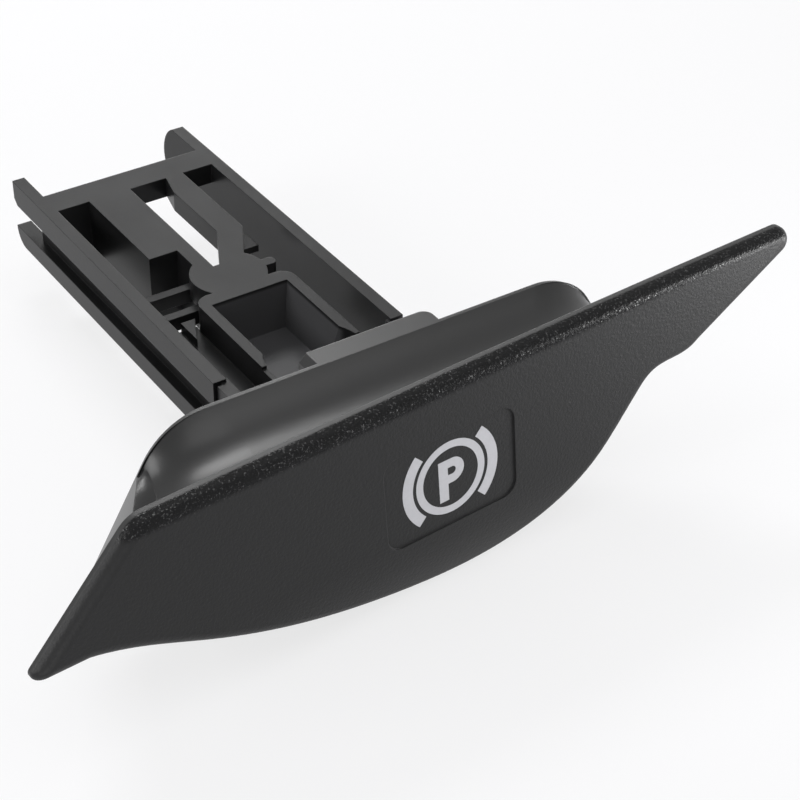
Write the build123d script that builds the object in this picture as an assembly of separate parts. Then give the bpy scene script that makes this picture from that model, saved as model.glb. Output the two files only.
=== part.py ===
"""Parking brake release handle: a winged grip on a ribbed slide.

Millimetres, +Z up, +X to the driver's right, +Y forward into the dash.
The origin is the centre of the guide rail section at the slide's shoulder.
"""
from math import cos, radians, sin
import os

from build123d import *

os.makedirs("parts", exist_ok=True)

# Slide: rails
RAIL_HALF_WIDTH = 20.6
RAIL_HALF_HEIGHT = 7.4
RAIL_WALL = 2.7
RAIL_DRAFT = 2.5
GROOVE_TOP = 2.0
GROOVE_BOTTOM = -3.3
GROOVE_DEPTH = 2.0
LEFT_RAIL_END = 85.3
FORK_DEPTH = 8.3
FORK_CHAMFER = 1.3
LOWER_FLANGE_RADIUS = 5.0
NOSE_RADIUS = 7.0
NOSE_CENTRE_Y = 83.6
NOSE_CENTRE_Z = 1.2

# Slide: top web with its bars and openings
WEB_THICKNESS = 4.5
BACK_BAR_REAR = 76.1
BACK_BAR_WIDTH = 6.9
BACK_BAR_FRONT = BACK_BAR_REAR - BACK_BAR_WIDTH
LEFT_BAR_OUTER = -10.8
LEFT_BAR_STEP_Y = 43.0
LEFT_BAR_NARROW = -4.6
SLOT_LEFT = -1.4
SLOT_RIGHT = 5.6
SLOT_MOUTH_RIGHT = 7.0
SLOT_MOUTH_Y = 63.3
SLOT_BEND_Y = 45.0
SLOT_TIP_Y = 34.1
BEND_INSET = 1.6
BEND_RISE = 0.9
RIGHT_BAR_OUTER = 11.0
RIGHT_BAR_BEND_Y = 44.0
DISC_Y = 30.5
DISC_RADIUS = 7.7
STUB_END = 10.1
STUB_WIDTH = 2.4
STUB_SHIFT = 0.5
STUB_CORNER = 0.8
BAR_RIB = 1.6
BAR_RIB_BOTTOM = -7.0
JOIN = 0.3

# Slide: box pocket between the channels
BOX_HALF_WIDTH = 10.6
BOX_REAR = 25.8
BOX_CORNER = 3.0
BOX_SIDE_WALL = 2.25
BOX_REAR_WALL = 3.5
BOX_FLOOR_Z = -2.5
BOX_FLOOR_THICKNESS = 2.0
BOX_DRAFT = 8.0
SCOOP_RADIUS = 9.7
SCOOP_Y = -1.7

# Slide: low cross bars, gussets and channel floor
LOW_LEVEL = 3.5
LOW_BAR_WIDTH = 2.0
LOW_BAR_HEIGHT = 3.0
LOW_BAR_CENTRES = (35.7, 28.2)
CHANNEL_FLOOR_Z = 1.5
CHANNEL_FLOOR_REAR = 25.2
CHANNEL_FLOOR_THICKNESS = 1.6
LEFT_GUSSET_X = -13.7
LEFT_GUSSET_LENGTH = 6.5
RIGHT_GUSSET_X = 13.1
RIGHT_GUSSET_LENGTH = 5.0
RIGHT_GUSSET_THICKNESS = 1.5

# Tenon of the slide and its socket in the grip
TENON_INSET = 0.6
TENON_LENGTH = 26.0
TENON_END_WALL = 2.0
RELIEF_WIDTH = 0.4
RELIEF_DEPTH = 1.0
FIT_CLEARANCE = 0.1
SOCKET_WALL = 3.0
STOP_THICKNESS = 1.6

# Grip: face plate
FACE_CENTRE = (0, -45.5, 7.7)
FACE_YAW = 2.7
FACE_TILT = 4.6
FACE_CANT = 1.9
PLATE_THICKNESS = 3.0
BELLY_START = -8.0
BELLY_RADIUS = 36.0
BELLY_SWEEP = 40.0
FRONT_EDGE_RADIUS = 2.2
TIP_RADIUS_LEFT = 1.2
TIP_RADIUS_RIGHT = 2.8
CORNER_RADIUS = 6.0
LIP_FILLET = 6.0
RECESS_DEPTH = 0.35
RECESS_WIDTH = 27.7
RECESS_BOTTOM = -9.7
RECESS_TOP = 9.0
RECESS_CORNER = 3.0

# Grip: outline of the face plate, from the centre of the symbol
WING_REACH_RIGHT = 88.4
WING_REACH_LEFT = 81.2
WING_LEFT_FOOT = -1.7
LIP_CORNER_X = -58.9
LIP_HEIGHT = 19.7
LIP_HEIGHT_RIGHT = 18.4
BELLY_LEFT = (-70.0, -1.8)
BELLY_RIGHT = (57.6, 2.9)
BELLY_POINTS = (
    (53.0, 1.4), (46.3, 0.6), (43.0, -2.2), (31.3, -14.0), (22.8, -19.4), (11.9, -22.8),
    (-10.5, -21.6), (-32.0, -16.2), (-51.0, -8.9), (-61.6, -4.3),
)
OUTLINE_MARGIN = 8.0

# Grip: hood behind the plate
HOOD_REAR = -22.0
HOOD_FRONT = -47.0
HOOD_TOP = 21.7
HOOD_TOP_HALF_WIDTH = 41.9
HOOD_LEG_ANGLE = 59.5
HOOD_BOTTOM = -10.5
HOOD_SHOULDER_RADIUS = 14.0
HOOD_WIDENING = 1.36
HOOD_WALL = 2.5
DISH_DEPTH = 3.4
DISH_VALLEY_Y = -30.0
DISH_MIDDLE_Y = -37.0
DISH_FOOT = ((46.0, 14.8), (47.6, 12.6), (51.0, 12.0), (56.0, 12.0))
DISH_RIDGE = ((47.0, 13.0), (52.3, 14.0), (56.2, 14.3), (62.0, 15.0))
DISH_FLAT = (33.9, 31.0, 33.0, 36.0)
RIM_LAND = 0.8
CAVITY_TOP = 15.4
CAVITY_FLAT = 29.0
CAVITY_SLOPE_END = 40.0
CAVITY_SIDE_TOP = 9.6
CAVITY_REACH = 50.0
TAB_HALF_WIDTH = 13.3
TAB_REAR = -18.2
TAB_THICKNESS = 3.4
TAB_CORNER = 2.0
TAB_CHAMFER = 1.5


def block(x0, x1, y0, y1, z0, z1):
    """A box between two corners."""
    box = Box(x1 - x0, y1 - y0, z1 - z0, align=(Align.MIN, Align.MIN, Align.MIN))
    return Pos(x0, y0, z0) * box


def prism(points, z0, z1):
    """A vertical prism over a polygon in plan."""
    outline = make_face(Polyline(*points, close=True))
    return Pos(0, 0, z0) * extrude(outline, z1 - z0)


def inner_face_x(z):
    """Half width between the rails at a height, widest at the top."""
    fall = RAIL_HALF_HEIGHT - z
    return RAIL_HALF_WIDTH - RAIL_WALL - fall * sin(radians(RAIL_DRAFT))


def rail_section():
    """Section of the right rail, an upright wall with an outer groove."""
    top = RAIL_HALF_HEIGHT
    outer = RAIL_HALF_WIDTH
    return Polyline(
        (inner_face_x(top), 0, top),
        (outer, 0, top),
        (outer, 0, GROOVE_TOP),
        (outer - GROOVE_DEPTH, 0, GROOVE_TOP),
        (outer - GROOVE_DEPTH, 0, GROOVE_BOTTOM),
        (outer, 0, GROOVE_BOTTOM),
        (outer, 0, -top),
        (inner_face_x(-top), 0, -top),
        close=True,
    )


def right_rail():
    """The right rail, which ends in a round nose."""
    reach = NOSE_CENTRE_Y + NOSE_RADIUS
    rail = extrude(make_face(rail_section()), reach, dir=(0, 1, 0))
    trim = make_face(
        Polyline((NOSE_CENTRE_Y, -RAIL_HALF_HEIGHT), (0, -RAIL_HALF_HEIGHT), (0, RAIL_HALF_HEIGHT),
                 (NOSE_CENTRE_Y, RAIL_HALF_HEIGHT), close=True)
    )
    trim += Pos(NOSE_CENTRE_Y, NOSE_CENTRE_Z) * Circle(NOSE_RADIUS)
    side = extrude(Plane.YZ * trim, RAIL_HALF_WIDTH + 1)
    return rail & side


def left_rail():
    """The left rail, forked at its rear end into two flanges."""
    rail = extrude(make_face(rail_section()), LEFT_RAIL_END, dir=(0, 1, 0))
    rail = mirror(rail, about=Plane.YZ)
    web_end = LEFT_RAIL_END - FORK_DEPTH
    fork = block(-RAIL_HALF_WIDTH - 1, 0, web_end, LEFT_RAIL_END + 1, GROOVE_BOTTOM, GROOVE_TOP)
    rail -= fork
    upper_end = [
        e for e in rail.edges().filter_by(Axis.X)
        if e.center().Y > LEFT_RAIL_END - 0.1 and abs(e.center().Z - GROOVE_TOP) < 0.1
    ]
    rail = chamfer(upper_end, FORK_CHAMFER)
    lower_end = [
        e for e in rail.edges().filter_by(Axis.X)
        if e.center().Y > LEFT_RAIL_END - 0.1 and e.center().Z < 1 - RAIL_HALF_HEIGHT
    ]
    flange_height = GROOVE_BOTTOM + RAIL_HALF_HEIGHT
    return fillet(lower_end, min(LOWER_FLANGE_RADIUS, flange_height - JOIN))


def web():
    """The pierced top web: back bar, two bars, the disc and its stub."""
    top = RAIL_HALF_HEIGHT
    bottom = top - WEB_THICKNESS
    reach = inner_face_x(top) + JOIN
    body = block(-reach, reach, BACK_BAR_FRONT, BACK_BAR_REAR, bottom, top)
    body += prism(
        [
            (LEFT_BAR_OUTER, BACK_BAR_FRONT),
            (LEFT_BAR_OUTER, LEFT_BAR_STEP_Y),
            (LEFT_BAR_NARROW, LEFT_BAR_STEP_Y),
            (LEFT_BAR_NARROW, DISC_Y),
            (0, DISC_Y),
            (0, SLOT_TIP_Y),
            (SLOT_LEFT, SLOT_TIP_Y),
            (SLOT_LEFT, BACK_BAR_FRONT),
        ],
        bottom, top,
    )
    body += prism(
        [
            (SLOT_MOUTH_RIGHT, BACK_BAR_FRONT),
            (SLOT_RIGHT, SLOT_MOUTH_Y),
            (SLOT_RIGHT, SLOT_BEND_Y),
            (0, SLOT_TIP_Y),
            (0, DISC_Y),
            (DISC_RADIUS - BEND_INSET, DISC_Y),
            (DISC_RADIUS - BEND_INSET, SLOT_TIP_Y + BEND_RISE),
            (RIGHT_BAR_OUTER, RIGHT_BAR_BEND_Y),
            (RIGHT_BAR_OUTER, BACK_BAR_FRONT),
        ],
        bottom, top,
    )
    body += Pos(0, DISC_Y, bottom) * extrude(Circle(DISC_RADIUS), WEB_THICKNESS)
    neck = DISC_RADIUS - BOX_CORNER
    body += block(-neck, neck, BOX_REAR - 1, DISC_Y, bottom, top)
    stub_y = DISC_Y - STUB_SHIFT
    stub = block(0, STUB_END, stub_y - STUB_WIDTH / 2, stub_y + STUB_WIDTH / 2, bottom, top)
    stub_end = [e for e in stub.edges().filter_by(Axis.Z) if e.center().X > STUB_END - 0.1]
    body += fillet(stub_end, STUB_CORNER)
    tip = [(SLOT_LEFT, SLOT_TIP_Y), (0, SLOT_TIP_Y), (SLOT_RIGHT, SLOT_BEND_Y), (SLOT_LEFT, SLOT_BEND_Y)]
    return body - prism(tip, bottom, top)


def bar_ribs():
    """Deep ribs under the left bar and the rear bar's left half."""
    top = RAIL_HALF_HEIGHT - 1
    low = BAR_RIB_BOTTOM
    ribs = block(LEFT_BAR_OUTER, LEFT_BAR_OUTER + BAR_RIB, LEFT_BAR_STEP_Y, BACK_BAR_FRONT + 1, low, top)
    step = LEFT_BAR_STEP_Y + BAR_RIB
    ribs += block(LEFT_BAR_OUTER, LEFT_BAR_NARROW + BAR_RIB, LEFT_BAR_STEP_Y, step, low, top)
    ribs += block(LEFT_BAR_NARROW, LEFT_BAR_NARROW + BAR_RIB, DISC_Y, step, low, top)
    reach = inner_face_x(-RAIL_HALF_HEIGHT) + JOIN
    ribs += block(-reach, LEFT_BAR_OUTER + BAR_RIB, BACK_BAR_FRONT, BACK_BAR_FRONT + BAR_RIB, low, top)
    return ribs


def box_pocket():
    """The open box between the channels: outer block, and its drafted pocket."""
    bottom = BOX_FLOOR_Z - BOX_FLOOR_THICKNESS
    front = -TENON_LENGTH + TENON_END_WALL
    outer = block(-BOX_HALF_WIDTH, BOX_HALF_WIDTH, front, BOX_REAR, bottom, RAIL_HALF_HEIGHT)
    corners = [e for e in outer.edges().filter_by(Axis.Z) if e.center().Y > BOX_REAR - 0.1]
    outer = fillet(corners, BOX_CORNER)
    half = BOX_HALF_WIDTH - BOX_SIDE_WALL
    rear = BOX_REAR - BOX_REAR_WALL
    pocket_front = SCOOP_Y - SCOOP_RADIUS
    mouth = Pos(0, (rear + pocket_front) / 2, RAIL_HALF_HEIGHT) * Rectangle(2 * half, rear - pocket_front)
    pocket = extrude(mouth, BOX_FLOOR_Z - RAIL_HALF_HEIGHT, taper=BOX_DRAFT)
    depth = RAIL_HALF_HEIGHT - BOX_FLOOR_Z
    pocket += Pos(0, SCOOP_Y, BOX_FLOOR_Z) * extrude(Circle(SCOOP_RADIUS), depth)
    return outer, pocket


def channel_details():
    """Low cross bars, the channel floor, and the two gussets."""
    reach = inner_face_x(LOW_LEVEL) + JOIN
    low = LOW_LEVEL - LOW_BAR_HEIGHT
    parts = block(-reach, -BOX_HALF_WIDTH + JOIN, -TENON_LENGTH + 1, CHANNEL_FLOOR_REAR,
                  CHANNEL_FLOOR_Z - CHANNEL_FLOOR_THICKNESS, CHANNEL_FLOOR_Z)
    for centre in LOW_BAR_CENTRES:
        half = LOW_BAR_WIDTH / 2
        parts += block(-reach, LEFT_BAR_NARROW, centre - half, centre + half, low, LOW_LEVEL)
    rear = CHANNEL_FLOOR_REAR
    left = [(-BOX_HALF_WIDTH, rear), (LEFT_GUSSET_X, rear), (LEFT_GUSSET_X, rear - LEFT_GUSSET_LENGTH)]
    parts += prism(left, CHANNEL_FLOOR_Z - JOIN, LOW_LEVEL)
    bend = RIGHT_BAR_BEND_Y
    half = RIGHT_GUSSET_LENGTH / 2
    inner = 2 * RIGHT_BAR_OUTER - RIGHT_GUSSET_X
    right = [(RIGHT_BAR_OUTER, bend + half + 1), (RIGHT_GUSSET_X, bend + half), (RIGHT_GUSSET_X, bend - half),
             (inner, bend - half)]
    parts += prism(right, LOW_LEVEL - RIGHT_GUSSET_THICKNESS, LOW_LEVEL)
    return parts


def tenon():
    """The front end of the slide, slightly smaller than the rails."""
    half = RAIL_HALF_WIDTH - TENON_INSET
    high = RAIL_HALF_HEIGHT - TENON_INSET
    shell = block(-half, half, -TENON_LENGTH, 1, -high, high)
    core = inner_face_x(-RAIL_HALF_HEIGHT)
    front = -TENON_LENGTH + TENON_END_WALL
    shell -= block(-core, core, front, 2, -RAIL_HALF_HEIGHT, RAIL_HALF_HEIGHT)
    neck = block(-half - 1, half + 1, -RELIEF_WIDTH, 0, -high - 1, high + 1)
    inner = half - RELIEF_DEPTH
    neck -= block(-inner, inner, -RELIEF_WIDTH, 0, -high, high)
    return shell - neck


def make_slide():
    """The slide: two grooved rails joined by the web, the box and the ribs."""
    box_outer, box_inner = box_pocket()
    body = right_rail() + left_rail() + tenon() + web() + bar_ribs() + channel_details() + box_outer
    high = RAIL_HALF_HEIGHT - TENON_INSET
    wide = RAIL_HALF_WIDTH
    body -= block(-wide, wide, -TENON_LENGTH - 1, -RELIEF_WIDTH, high, RAIL_HALF_HEIGHT + 1)
    return body - box_inner


def face_plane():
    """Plane of the symbol: X along the lip, Y up, Z towards the driver."""
    return Plane(FACE_CENTRE, x_dir=(1, 0, 0), z_dir=(0, -1, 0)) * Rot(-FACE_TILT, FACE_YAW, FACE_CANT)


def wing_corners():
    """The lip's left corner and the two wing tips, each with its rounding."""
    return [
        ((LIP_CORNER_X, LIP_HEIGHT), CORNER_RADIUS),
        ((WING_REACH_RIGHT, LIP_HEIGHT_RIGHT), TIP_RADIUS_RIGHT),
        ((-WING_REACH_LEFT, WING_LEFT_FOOT), TIP_RADIUS_LEFT),
    ]


def wing_outline():
    """Front outline of the plate: long lip, swept wings, full belly."""
    corner, right, left = [point for point, radius in wing_corners()]
    middle = ((corner[0] + right[0]) / 2, LIP_HEIGHT)
    outline = make_face([
        ThreePointArc(corner, middle, right),
        Line(right, BELLY_RIGHT),
        Spline(BELLY_RIGHT, *BELLY_POINTS, BELLY_LEFT),
        Line(BELLY_LEFT, left),
        Line(left, corner),
    ])
    for (x, y), radius in wing_corners():
        outline = fillet(outline.vertices().sort_by_distance((x, y, 0))[0], radius)
    return outline


def curved_layer(front, back):
    """A layer that follows the face, flat above and curved back at the belly."""
    centre = (BELLY_START, RECESS_DEPTH - BELLY_RADIUS)
    outer = CenterArc(centre, BELLY_RADIUS + front, 90, BELLY_SWEEP)
    inner = CenterArc(centre, BELLY_RADIUS + back, 90, BELLY_SWEEP)
    top = LIP_HEIGHT + OUTLINE_MARGIN
    edges = [
        outer,
        Line(outer @ 1, inner @ 1),
        inner,
        Line(inner @ 0, (top, (inner @ 0).Y)),
        Line((top, (inner @ 0).Y), (top, (outer @ 0).Y)),
        Line((top, (outer @ 0).Y), outer @ 0),
    ]
    section = Plane.YZ * make_face(edges)
    return extrude(section, max(WING_REACH_RIGHT, WING_REACH_LEFT) + OUTLINE_MARGIN, both=True)


def face_plate():
    """The winged plate in its own frame, with rounded front edges and the recess."""
    slab = extrude(wing_outline(), BELLY_RADIUS / 2, both=True)
    plate = round_front_edges(slab & curved_layer(0, -PLATE_THICKNESS))
    pocket = RectangleRounded(RECESS_WIDTH, RECESS_TOP - RECESS_BOTTOM, RECESS_CORNER)
    middle = (RECESS_TOP + RECESS_BOTTOM) / 2
    return plate - Pos(0, middle, 0) * extrude(pocket, PLATE_THICKNESS)


def round_front_edges(plate):
    """Rounds the outer edges of the faces that look at the driver."""
    front = [f for f in plate.faces() if f.normal_at(f.center()).Z > 0.6]
    edges = [e for f in front for e in f.edges()]
    outer = [e for e in edges if sum(1 for o in edges if (o.center() - e.center()).length < 0.001) == 1]
    return fillet(outer, FRONT_EDGE_RADIUS)


def leg_spread():
    """Sideways reach of a hood leg for each millimetre that it drops."""
    return cos(radians(HOOD_LEG_ANGLE)) / sin(radians(HOOD_LEG_ANGLE))


def cross_plane(y):
    """Upright plane across the slide direction: X to the right, Y up."""
    return Plane((0, y, 0), x_dir=(1, 0, 0), z_dir=(0, -1, 0))


def hood_outline(y, scale):
    """Arch section of the hood: flat top, round shoulders, spread legs."""
    shoulder = HOOD_TOP_HALF_WIDTH * scale
    foot = (HOOD_TOP_HALF_WIDTH + leg_spread() * (HOOD_TOP - HOOD_BOTTOM)) * scale
    points = [(-shoulder, HOOD_TOP), (shoulder, HOOD_TOP), (foot, HOOD_BOTTOM), (-foot, HOOD_BOTTOM)]
    face = make_face(Polyline(*points, close=True))
    corners = [v for v in face.vertices() if v.Y > HOOD_TOP - 0.1]
    return cross_plane(y) * fillet(corners, HOOD_SHOULDER_RADIUS)


def cavity_outline(y, scale):
    """Section of the finger pocket, open below."""
    leg_inset = HOOD_WALL / sin(radians(HOOD_LEG_ANGLE))
    side = HOOD_TOP_HALF_WIDTH + leg_spread() * (HOOD_TOP - CAVITY_SIDE_TOP) - leg_inset
    low = CAVITY_SIDE_TOP - CAVITY_REACH
    foot = side + leg_spread() * CAVITY_REACH
    half = [
        (CAVITY_FLAT, CAVITY_TOP),
        (CAVITY_SLOPE_END, CAVITY_SIDE_TOP),
        (side, CAVITY_SIDE_TOP),
        (foot, low),
    ]
    right = [(x * scale, z) for x, z in half]
    left = [(-x, z) for x, z in reversed(right)]
    return cross_plane(y) * make_face(Polyline(*right, *left, close=True))


def dish_outline(y, floor, foot, foot_z, ridge, ridge_z, flat):
    """Section of the dish: a crowned floor that falls to a foot and climbs to the ridge."""
    side = WING_REACH_RIGHT + OUTLINE_MARGIN
    high = HOOD_TOP + LIP_HEIGHT + OUTLINE_MARGIN
    right = TangentArc((flat, floor), (foot, foot_z), tangent=(1, 0))
    left = TangentArc((-flat, floor), (-foot, foot_z), tangent=(-1, 0))
    edges = [
        Line((-flat, floor), (flat, floor)),
        right,
        Line((foot, foot_z), (ridge, ridge_z)),
        Line((ridge, ridge_z), (side, ridge_z)),
        Line((side, ridge_z), (side, high)),
        Line((side, high), (-side, high)),
        Line((-side, high), (-side, ridge_z)),
        Line((-side, ridge_z), (-ridge, ridge_z)),
        Line((-ridge, ridge_z), (-foot, foot_z)),
        left,
    ]
    return cross_plane(y) * make_face(edges)


def dish():
    """The space above the dished top of the hood."""
    floor = HOOD_TOP - DISH_DEPTH
    depths = (HOOD_REAR - RIM_LAND, DISH_VALLEY_Y, DISH_MIDDLE_Y, HOOD_FRONT - 1)
    floors = (HOOD_TOP, floor, floor, floor)
    shapes = zip(depths, floors, DISH_FOOT, DISH_RIDGE, DISH_FLAT)
    return loft([dish_outline(y, z, *foot, *ridge, flat) for y, z, foot, ridge, flat in shapes])


def tab():
    """The flat tab that continues the hood's rim over the slide."""
    half = TAB_HALF_WIDTH
    body = block(-half, half, HOOD_REAR - RIM_LAND, TAB_REAR, HOOD_TOP - TAB_THICKNESS, HOOD_TOP)
    rear = [e for e in body.edges().filter_by(Axis.Z) if e.center().Y > TAB_REAR - 0.1]
    body = fillet([e for e in rear if e.center().X > 0], TAB_CORNER)
    top = [e for e in body.edges().filter_by(Axis.Y) if e.center().Z > HOOD_TOP - 0.1]
    return chamfer([e for e in top if e.center().X < 0], TAB_CHAMFER)


def socket():
    """The blind socket block on the rear wall, and the hole that takes the tenon."""
    half = RAIL_HALF_WIDTH - TENON_INSET + FIT_CLEARANCE
    high = RAIL_HALF_HEIGHT - TENON_INSET + FIT_CLEARANCE
    wide = half + SOCKET_WALL
    tall = high + SOCKET_WALL
    collar = block(-wide, wide, -TENON_LENGTH - STOP_THICKNESS, HOOD_REAR - 1, -tall, tall)
    hole = block(-half, half, -TENON_LENGTH, HOOD_REAR + 1, -high, high)
    return collar, hole


def fillet_lip(body, plane):
    """Rounds the corner between the dish floor and the back of the lip."""
    back = RECESS_DEPTH - PLATE_THICKNESS
    chosen = []
    for edge in body.edges().filter_by(GeomType.BSPLINE):
        local = [Plane(plane).to_local_coords(edge @ share) for share in (0.1, 0.5, 0.9)]
        on_back = all(abs(point.Z - back) < 0.05 for point in local)
        if on_back and (edge @ 0.5).Z > CAVITY_TOP + RIM_LAND:
            chosen.append(edge)
    return fillet(chosen, LIP_FILLET)


def make_grip():
    """The grip: winged plate, dished hood with its open pocket, tab and socket."""
    plane = face_plane()
    plate = plane * face_plate()
    shadow = plane * extrude(wing_outline(), HOOD_FRONT - TAB_REAR + FACE_CENTRE[1])
    rear = HOOD_REAR - HOOD_WALL
    hood = loft([hood_outline(HOOD_REAR, 1), hood_outline(HOOD_FRONT, HOOD_WIDENING)], ruled=True)
    hood -= loft([cavity_outline(rear, 1), cavity_outline(HOOD_FRONT - 1, HOOD_WIDENING)], ruled=True)
    hood -= dish()
    hood &= shadow
    hood -= plane * curved_layer(OUTLINE_MARGIN, -PLATE_THICKNESS / 2)
    collar, hole = socket()
    body = fillet_lip(plate + hood, plane)
    return body + tab() + collar - hole


if __name__ == "__main__":
    export_step(make_slide(), "parts/slide.step")
    export_step(make_grip(), "parts/grip.step")
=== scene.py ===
"""Looks for the parking brake release handle: materials, printed symbol, floor, light and camera."""

from math import cos, pi, radians, sin

import bpy
from mathutils import Matrix, Vector


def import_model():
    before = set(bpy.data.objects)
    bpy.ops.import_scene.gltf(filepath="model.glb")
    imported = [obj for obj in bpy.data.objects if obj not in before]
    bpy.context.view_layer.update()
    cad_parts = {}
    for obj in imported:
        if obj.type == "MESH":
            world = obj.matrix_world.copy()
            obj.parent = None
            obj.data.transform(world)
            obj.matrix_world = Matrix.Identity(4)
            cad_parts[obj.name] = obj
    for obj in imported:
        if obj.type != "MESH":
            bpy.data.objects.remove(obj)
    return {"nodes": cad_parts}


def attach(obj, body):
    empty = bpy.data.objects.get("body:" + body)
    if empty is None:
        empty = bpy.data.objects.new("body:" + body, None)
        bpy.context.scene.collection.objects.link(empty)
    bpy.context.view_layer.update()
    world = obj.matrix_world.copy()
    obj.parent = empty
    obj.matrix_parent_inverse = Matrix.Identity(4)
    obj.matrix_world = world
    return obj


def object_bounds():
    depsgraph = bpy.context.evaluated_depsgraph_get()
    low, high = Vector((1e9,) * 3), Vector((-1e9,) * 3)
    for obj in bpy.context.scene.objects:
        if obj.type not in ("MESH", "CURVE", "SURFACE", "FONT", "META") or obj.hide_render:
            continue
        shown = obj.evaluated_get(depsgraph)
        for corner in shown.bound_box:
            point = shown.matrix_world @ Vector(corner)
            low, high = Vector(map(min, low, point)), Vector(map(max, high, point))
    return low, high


MM = 0.001

# Camera of the photograph
CAMERA_AZIMUTH = radians(-34.16)
CAMERA_ELEVATION = radians(36.60)
CAMERA_ROLL = radians(0.87)
CAMERA_PLACE = Vector((-156.24, -260.07, 220.75)) * MM
CAMERA_LENS = 90.0
CAMERA_CLIP = (0.01, 20.0)
SENSOR_WIDTH = 36.0

# Plane of the symbol on the grip
FACE_CENTRE = Vector((0.0, -45.5, 7.7)) * MM
FACE_YAW = radians(2.7)
FACE_TILT = radians(4.6)
FACE_CANT = radians(1.9)

# Front of the plate, in the face frame in millimetres: where its lower part curves back,
# and where the grain of the front and the glitter of the lip fade in
BELLY_START = -8.0
BELLY_RADIUS = 36.0
GRAIN_EDGE = (-1.8, -1.4)
LIP_GRAIN = (16.2, 17.4)

# Within the slide's pocket, in metres: where its painted light fades out.
# The pocket is painted paler as painted light, chosen to match the brightness in the photograph.
POCKET_LIGHT_SIDE = (0.0090, 0.0082)
POCKET_LIGHT_REAR = (0.0227, 0.0222)
POCKET_LIGHT_TOP = (0.0072, 0.0064)

# Noises: scale per metre, detail, roughness
SLIDE_FINE = (2600.0, 3.0, 0.6)
SLIDE_CLOUD = (90.0, 3.0, 0.5)
GRIP_GRAIN = (3200.0, 3.0, 0.6)
GRIP_COARSE = (1700.0, 2.0, 0.5)
GRIP_CLOUD = (60.0, 3.0, 0.5)
GRIP_SPARK = (2600.0, 2.0, 0.5)
PRINT_MOTTLE = (1400.0, 3.0, 0.6)
FLOOR_CLOUD = (6.0, 2.0, 0.5)

# All greys lean a little to blue
BLUE_TINT = 1.04

# Both plastics
PLASTIC_IOR = 1.5
BEVEL_SAMPLES = 4

# Slide: pairs run from the noise's low end to its high end
SLIDE_EDGE_RADIUS = 0.22 * MM
SLIDE_BUMP = (0.02 * MM, 0.35)          # distance, strength
SLIDE_ROUGHNESS = (0.28, 0.36)
SLIDE_GREY = (0.004, 0.080)
SLIDE_CLOUD_SHARE = 0.2                 # of the way from dark to light
# Painted light: how much paler the pocket is painted
SLIDE_POCKET_PAINTED_LIGHT = 0.8
SLIDE_SPECULAR = 0.15

# Grip: pairs run from the smooth hood to the grained front
GRIP_EDGE_RADIUS = 0.3 * MM
GRIP_GRAIN_SHARE = 0.5                  # of the fine grain beside the coarse one
GRIP_BUMP_DISTANCE = 0.12 * MM
GRIP_BUMP_STRENGTH = (0.01, 0.6)
GRIP_ROUGHNESS = (0.28, 0.46)
GRIP_SPECULAR = (0.42, 0.27)
GRIP_GREY = (0.006, 0.011)
GRIP_CLOUD_SHARE = 0.3                  # of the way from dark to light
# Painted light: how much paler the front is painted than the hood, the same plastic
GRIP_FRONT_PAINTED_LIGHT = 0.7
CLOUD_ROUGHNESS = 0.05
LIP_BUMP_STRENGTH = 0.4                 # added on the lip
LIP_SMOOTHNESS = 0.25                   # taken off the roughness there
BAND_ROUGHNESS = 0.17                   # added on the lip's smooth rear edge
SPARK_RANGE = (0.56, 0.74)
SPARK_SPECULAR = (0.10, 0.8)            # between the sparks, in them

# Ink
PRINT_BUMP = (0.02 * MM, 0.3)
PRINT_GREY = (0.49, 0.57)
PRINT_ROUGHNESS = (0.5, 0.62)

# Floor and world
FLOOR_GREY = (0.84, 0.88)
FLOOR_ROUGHNESS = (0.75, 0.85)
FLOOR_GLOW_SHARE = 0.74
FLOOR_REACH = 3.0
WHITE_STRENGTH = 1.0
FILL_STRENGTH = 0.32

# Soft boxes: name, place, width, height, radiance
LAMP_TARGET = Vector((0, 0, 0.01))
LAMPS = (
    ("key_rear", (0.10, 0.62, 0.65), 0.56, 0.20, 9.5),
    ("rear_right", (0.34, 0.70, 0.14), 0.30, 0.16, 5.0),
    ("overhead", (0.10, -0.30, 1.10), 0.90, 0.80, 1.3),
    ("right_low", (0.175, -0.125, 0.005), 0.10, 0.05, 16.0),
    ("left_low", (-0.13, -0.16, 0.0), 0.08, 0.04, 4.0),
    ("left", (-0.70, 0.10, 0.35), 0.40, 0.30, 6.0),
)

# Printed symbol, in millimetres from its centre
RING_OUTER = 7.3
RING_INNER = 5.85
RING_STEPS = 96
BRACKET_OUTER = 10.15
BRACKET_INNER = 8.0
BRACKET_HALF_ANGLE = 46
BRACKET_STEPS = 40
LETTER_LEFT = -2.5
LETTER_RIGHT = 2.9
LETTER_TOP = 3.75
LETTER_FOOT = -4.6
LETTER_STEM = -0.55         # right edge of the stem
LETTER_BOWL_FOOT = -1.25
LETTER_STROKE = 1.75
BOWL_STEPS = 28
COUNTER_STEPS = 20
PRINT_LIFT = 0.012
PRINT_THICKNESS = 0.02


def face_matrix():
    """Frame of the symbol plane: X along the lip, Y up the face, Z towards the driver."""
    upright = Matrix(((1, 0, 0), (0, 0, -1), (0, 1, 0))).to_4x4()
    tilt = Matrix.Rotation(-FACE_TILT, 4, "X")
    yaw = Matrix.Rotation(FACE_YAW, 4, "Y")
    cant = Matrix.Rotation(FACE_CANT, 4, "Z")
    return Matrix.Translation(FACE_CENTRE) @ upright @ (tilt @ yaw @ cant)


# Materials

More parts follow.
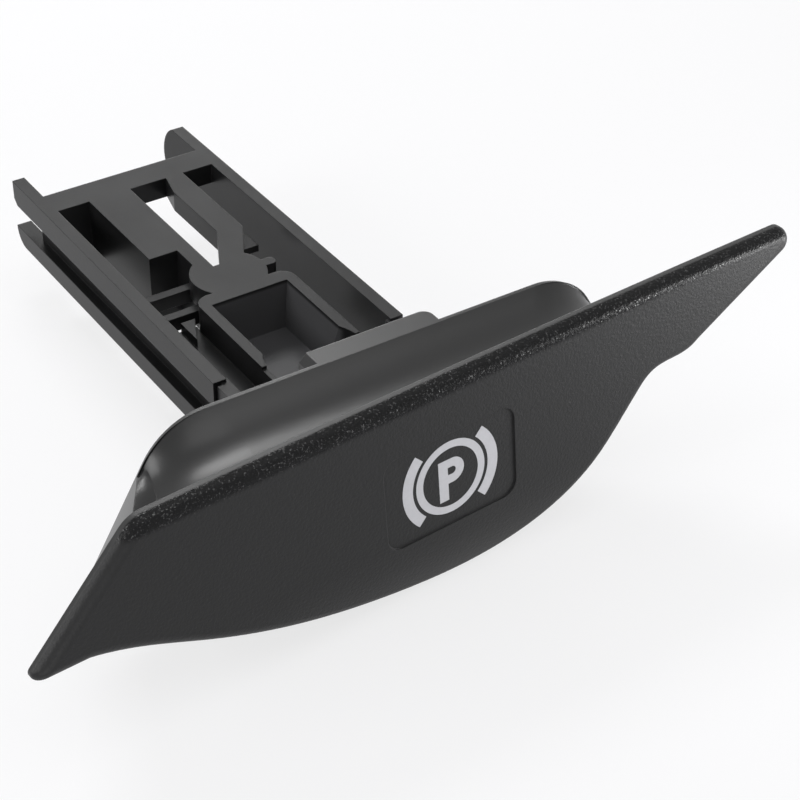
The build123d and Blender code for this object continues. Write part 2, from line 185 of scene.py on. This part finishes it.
class Build:
    """Adds shader nodes to one material and links them."""

    def __init__(self, name):
        self.material = bpy.data.materials.new(name)
        self.material.use_nodes = True
        self.tree = self.material.node_tree
        self.tree.nodes.clear()

    def node(self, kind, values=None, **settings):
        """A node with its settings, and its inputs linked or set."""
        made = self.tree.nodes.new(kind)
        for key, value in settings.items():
            setattr(made, key, value)
        for key, value in (values or {}).items():
            if isinstance(value, bpy.types.NodeSocket):
                self.tree.links.new(value, made.inputs[key])
            else:
                made.inputs[key].default_value = value
        return made

    def place(self):
        """Place in the CAD frame, in metres."""
        return self.node("ShaderNodeTexCoord").outputs["Object"]

    def math(self, operation, a, b=0.0):
        return self.node("ShaderNodeMath", {0: a, 1: b}, operation=operation).outputs[0]

    def add(self, a, b):
        return self.math("ADD", a, b)

    def times(self, a, b):
        return self.math("MULTIPLY", a, b)

    def ramp(self, value, low, high):
        """Smooth step from 0 at low to 1 at high."""
        values = {"Value": value, "From Min": low, "From Max": high, "To Min": 0.0, "To Max": 1.0}
        made = self.node("ShaderNodeMapRange", values, interpolation_type="SMOOTHSTEP")
        return made.outputs["Result"]

    def noise(self, where, scale, detail, roughness):
        values = {"Vector": where, "Scale": scale, "Detail": detail, "Roughness": roughness}
        return self.node("ShaderNodeTexNoise", values).outputs["Fac"]

    def mix(self, factor, a, b):
        made = self.node("ShaderNodeMix", {"Factor": factor, "A": a, "B": b}, data_type="FLOAT")
        return made.outputs["Result"]

    def bump(self, height, distance, strength, normal=None):
        values = {"Height": height, "Distance": distance, "Strength": strength}
        if normal is not None:
            values["Normal"] = normal
        return self.node("ShaderNodeBump", values).outputs["Normal"]

    def bevel(self, radius):
        """Normal of slightly rounded edges."""
        made = self.node("ShaderNodeBevel", {"Radius": radius}, samples=BEVEL_SAMPLES)
        return made.outputs["Normal"]

    def grey(self, factor, dark, light):
        """Near neutral colour between two levels."""
        made = self.node("ShaderNodeValToRGB", {"Fac": factor})
        for stop, level in zip(made.color_ramp.elements, (dark, light)):
            stop.color = (level, level, level * BLUE_TINT, 1.0)
        return made.outputs["Color"]

    def principled(self, base, rough, further=None):
        """A Principled shader from a colour, a roughness and further inputs."""
        values = {"Base Color": base, "Roughness": rough, **(further or {})}
        return self.node("ShaderNodeBsdfPrincipled", values)

    def finish(self, socket):
        self.node("ShaderNodeOutputMaterial", {"Surface": socket})
        return self.material


def along(b, where, axis):
    """Distance of a point from the symbol's centre along an axis of the face, in millimetres."""
    direction = face_matrix().to_3x3() @ Vector(axis)
    values = {0: where, 1: direction / MM}
    reach = b.node("ShaderNodeVectorMath", values, operation="DOT_PRODUCT").outputs["Value"]
    return b.math("SUBTRACT", reach, direction.dot(FACE_CENTRE) / MM)


def slide_material():
    """Satin black moulding with a faint spark texture, slightly polished edges and painted light in the
    pocket.
    """
    b = Build("slide_plastic")
    where = b.place()
    fine = b.noise(where, *SLIDE_FINE)
    cloud = b.noise(where, *SLIDE_CLOUD)
    normal = b.bump(fine, *SLIDE_BUMP, b.bevel(SLIDE_EDGE_RADIUS))
    x, y, z = b.node("ShaderNodeSeparateXYZ", {0: where}).outputs
    # Painted light: the pocket below the top is painted paler, the same plastic as the rest
    pocket_painted_light = b.ramp(b.math("ABSOLUTE", x), *POCKET_LIGHT_SIDE)
    pocket_painted_light = b.times(pocket_painted_light, b.ramp(y, *POCKET_LIGHT_REAR))
    pocket_painted_light = b.times(pocket_painted_light, b.ramp(z, *POCKET_LIGHT_TOP))
    tone = b.add(b.times(cloud, SLIDE_CLOUD_SHARE), b.times(pocket_painted_light, SLIDE_POCKET_PAINTED_LIGHT))
    rough = b.mix(cloud, *SLIDE_ROUGHNESS)
    shader = b.principled(b.grey(tone, *SLIDE_GREY), rough, {"Normal": normal})
    shader.inputs["IOR"].default_value = PLASTIC_IOR
    shader.inputs["Specular IOR Level"].default_value = SLIDE_SPECULAR
    return b.finish(shader.outputs["BSDF"])


def grip_material():
    """One moulding, two finishes: grained plate front with a sparkling lip, semi-gloss hood; the front is
    painted paler as painted light.
    """
    b = Build("grip_plastic")
    where = b.place()

    # Where a point lies: on the front, on the lip's roll, on the lip's smooth rear edge
    up = along(b, where, (0, 1, 0))
    out = along(b, where, (0, 0, 1))
    below = b.math("MINIMUM", b.math("SUBTRACT", up, BELLY_START), 0.0)
    drop = b.math("DIVIDE", b.times(below, below), 2 * BELLY_RADIUS)
    front = b.ramp(b.add(out, drop), *GRAIN_EDGE)
    high = b.ramp(up, *LIP_GRAIN)
    lip = b.times(front, high)
    band = b.times(b.math("SUBTRACT", 1.0, front), high)

    cloud = b.noise(where, *GRIP_CLOUD)
    grain = b.noise(where, *GRIP_GRAIN)
    coarse = b.noise(where, *GRIP_COARSE)
    height = b.add(b.times(grain, GRIP_GRAIN_SHARE), coarse)
    strength = b.add(b.mix(front, *GRIP_BUMP_STRENGTH), b.times(lip, LIP_BUMP_STRENGTH))
    normal = b.bump(height, GRIP_BUMP_DISTANCE, strength, b.bevel(GRIP_EDGE_RADIUS))

    rough = b.add(b.mix(front, *GRIP_ROUGHNESS), b.times(cloud, CLOUD_ROUGHNESS))
    rough = b.math("SUBTRACT", rough, b.times(lip, LIP_SMOOTHNESS))
    rough = b.add(rough, b.times(band, BAND_ROUGHNESS))

    # Random cloud tone, and painted light: the front is painted paler than the hood
    tone = b.add(b.times(cloud, GRIP_CLOUD_SHARE), b.times(front, GRIP_FRONT_PAINTED_LIGHT))
    spark = b.ramp(b.noise(where, *GRIP_SPARK), *SPARK_RANGE)
    shine = b.mix(lip, b.mix(front, *GRIP_SPECULAR), b.mix(spark, *SPARK_SPECULAR))
    further = {"Normal": normal, "Specular IOR Level": shine}
    shader = b.principled(b.grey(tone, *GRIP_GREY), rough, further)
    shader.inputs["IOR"].default_value = PLASTIC_IOR
    return b.finish(shader.outputs["BSDF"])


def print_material():
    """Light grey ink with a faint mottling."""
    b = Build("symbol_print")
    mottle = b.noise(b.place(), *PRINT_MOTTLE)
    normal = b.bump(mottle, *PRINT_BUMP)
    rough = b.mix(mottle, *PRINT_ROUGHNESS)
    shader = b.principled(b.grey(mottle, *PRINT_GREY), rough, {"Normal": normal})
    return b.finish(shader.outputs["BSDF"])


def floor_material():
    """Pale floor that keeps the shadow and shows near white to the camera and in reflections."""
    b = Build("floor")
    cloud = b.noise(b.place(), *FLOOR_CLOUD)
    diffuse = b.principled(b.grey(cloud, *FLOOR_GREY), b.mix(cloud, *FLOOR_ROUGHNESS))
    glow = b.node("ShaderNodeEmission", {"Strength": WHITE_STRENGTH})
    path = b.node("ShaderNodeLightPath").outputs
    mirrored = b.math("MAXIMUM", path["Is Glossy Ray"], path["Is Transmission Ray"])
    seen = b.math("MAXIMUM", path["Is Camera Ray"], mirrored)
    values = {0: b.times(seen, FLOOR_GLOW_SHARE), 1: diffuse.outputs["BSDF"],
              2: glow.outputs["Emission"]}
    return b.finish(b.node("ShaderNodeMixShader", values).outputs["Shader"])


# Printed symbol

def arc(radius, start, end, steps):
    """Points of an arc, from angle to angle in degrees."""
    angles = [radians(start + (end - start) * i / steps) for i in range(steps + 1)]
    return [(radius * cos(angle), radius * sin(angle)) for angle in angles]


def circle(radius):
    """Points of a closed circle."""
    return arc(radius, 0, 360, RING_STEPS)[:-1]


def bracket(side):
    """One of the two curved brackets beside the ring."""
    half = BRACKET_HALF_ANGLE
    middle = 0 if side > 0 else 180
    outer = arc(BRACKET_OUTER, middle - half, middle + half, BRACKET_STEPS)
    inner = arc(BRACKET_INNER, middle + half, middle - half, BRACKET_STEPS)
    return outer + inner


def letter_p():
    """Outline and counter of the letter P."""
    radius = (LETTER_TOP - LETTER_BOWL_FOOT) / 2
    middle = (LETTER_TOP + LETTER_BOWL_FOOT) / 2
    hole_radius = radius - LETTER_STROKE

    def turned(size, steps):
        return [(LETTER_RIGHT - radius + x, middle + y) for x, y in arc(size, 90, -90, steps)]

    outline = [(LETTER_LEFT, LETTER_FOOT), (LETTER_LEFT, LETTER_TOP), *turned(radius, BOWL_STEPS),
               (LETTER_STEM, LETTER_BOWL_FOOT), (LETTER_STEM, LETTER_FOOT)]
    hole = [(LETTER_STEM, middle - hole_radius), (LETTER_STEM, middle + hole_radius),
            *turned(hole_radius, COUNTER_STEPS)]
    return outline, hole


def printed(name, loops, material):
    """A thin flat print on the symbol plane, from closed loops in millimetres."""
    curve = bpy.data.curves.new(name, "CURVE")
    curve.dimensions = "2D"
    curve.fill_mode = "BOTH"
    curve.extrude = PRINT_THICKNESS / 2 * MM
    for loop in loops:
        spline = curve.splines.new("POLY")
        spline.points.add(len(loop) - 1)
        spline.use_cyclic_u = True
        for point, (x, y) in zip(spline.points, loop):
            point.co = (x * MM, y * MM, 0, 1)
    source = bpy.data.objects.new(name + "_curve", curve)
    bpy.context.collection.objects.link(source)
    bpy.context.view_layer.update()
    shape = source.evaluated_get(bpy.context.evaluated_depsgraph_get())
    mesh = bpy.data.meshes.new_from_object(shape)
    bpy.data.objects.remove(source)
    lift = (PRINT_LIFT + PRINT_THICKNESS / 2) * MM
    mesh.transform(face_matrix() @ Matrix.Translation((0, 0, lift)))
    mesh.materials.clear()
    mesh.materials.append(material)
    made = bpy.data.objects.new(name, mesh)
    bpy.context.collection.objects.link(made)
    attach(made, "root")


def add_symbol():
    """The general sign for a parking brake: ring, two brackets and a letter."""
    ink = print_material()
    printed("symbol_ring", [circle(RING_OUTER), circle(RING_INNER)], ink)
    printed("symbol_bracket_left", [bracket(-1)], ink)
    printed("symbol_bracket_right", [bracket(1)], ink)
    printed("symbol_letter", letter_p(), ink)


# Stage

def add_floor(level):
    mesh = bpy.data.meshes.new("floor")
    reach = FLOOR_REACH
    corners = [(-reach, -reach, level), (reach, -reach, level), (reach, reach, level), (-reach, reach, level)]
    mesh.from_pydata(corners, [], [(0, 1, 2, 3)])
    mesh.materials.append(floor_material())
    made = bpy.data.objects.new("floor", mesh)
    bpy.context.collection.objects.link(made)


def add_light(name, place, width, height, radiance):
    """A soft box that faces the object."""
    data = bpy.data.lights.new(name, "AREA")
    data.shape = "RECTANGLE"
    data.size = width
    data.size_y = height
    data.energy = radiance * pi * width * height
    made = bpy.data.objects.new(name, data)
    made.location = place
    made.rotation_mode = "QUATERNION"
    made.rotation_quaternion = (LAMP_TARGET - Vector(place)).to_track_quat("-Z", "Y")
    bpy.context.collection.objects.link(made)


def add_world():
    """White to the camera, in reflections and through glass, a plain fill otherwise."""
    world = bpy.data.worlds.new("studio")
    bpy.context.scene.world = world
    world.use_nodes = True
    tree = world.node_tree
    tree.nodes.clear()
    path = tree.nodes.new("ShaderNodeLightPath")
    seen = path.outputs["Is Camera Ray"]
    for ray in ("Is Glossy Ray", "Is Transmission Ray"):
        either = tree.nodes.new("ShaderNodeMath")
        either.operation = "MAXIMUM"
        tree.links.new(seen, either.inputs[0])
        tree.links.new(path.outputs[ray], either.inputs[1])
        seen = either.outputs[0]
    mixed = tree.nodes.new("ShaderNodeMixShader")
    tree.links.new(seen, mixed.inputs[0])
    for socket, strength in ((1, FILL_STRENGTH), (2, WHITE_STRENGTH)):
        shade = tree.nodes.new("ShaderNodeBackground")
        shade.inputs["Color"].default_value = (1, 1, 1, 1)
        shade.inputs["Strength"].default_value = strength
        tree.links.new(shade.outputs[0], mixed.inputs[socket])
    output = tree.nodes.new("ShaderNodeOutputWorld")
    tree.links.new(mixed.outputs[0], output.inputs["Surface"])


def add_camera():
    """The photograph's camera, from its azimuth, elevation and roll."""
    az, el, roll = CAMERA_AZIMUTH, CAMERA_ELEVATION, CAMERA_ROLL
    back = Vector((sin(az) * cos(el), -cos(az) * cos(el), sin(el)))
    level = Vector((cos(az), sin(az), 0))
    above = back.cross(level)
    right = cos(roll) * level + sin(roll) * above
    up = -sin(roll) * level + cos(roll) * above
    data = bpy.data.cameras.new("camera")
    data.lens = CAMERA_LENS
    data.sensor_width = SENSOR_WIDTH
    data.clip_start, data.clip_end = CAMERA_CLIP
    made = bpy.data.objects.new("camera", data)
    turn = Matrix((right, up, back)).transposed().to_4x4()
    made.matrix_world = Matrix.Translation(CAMERA_PLACE) @ turn
    bpy.context.collection.objects.link(made)
    bpy.context.scene.camera = made


def main():
    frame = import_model()
    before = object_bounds()
    for node, material in (("grip", grip_material()), ("slide", slide_material())):
        for slot in frame["nodes"][node].material_slots:
            slot.material = material
    add_symbol()
    add_floor(before[0].z)
    for lamp in LAMPS:
        add_light(*lamp)
    add_world()
    add_camera()
    bpy.context.scene.view_settings.view_transform = "Standard"


main()
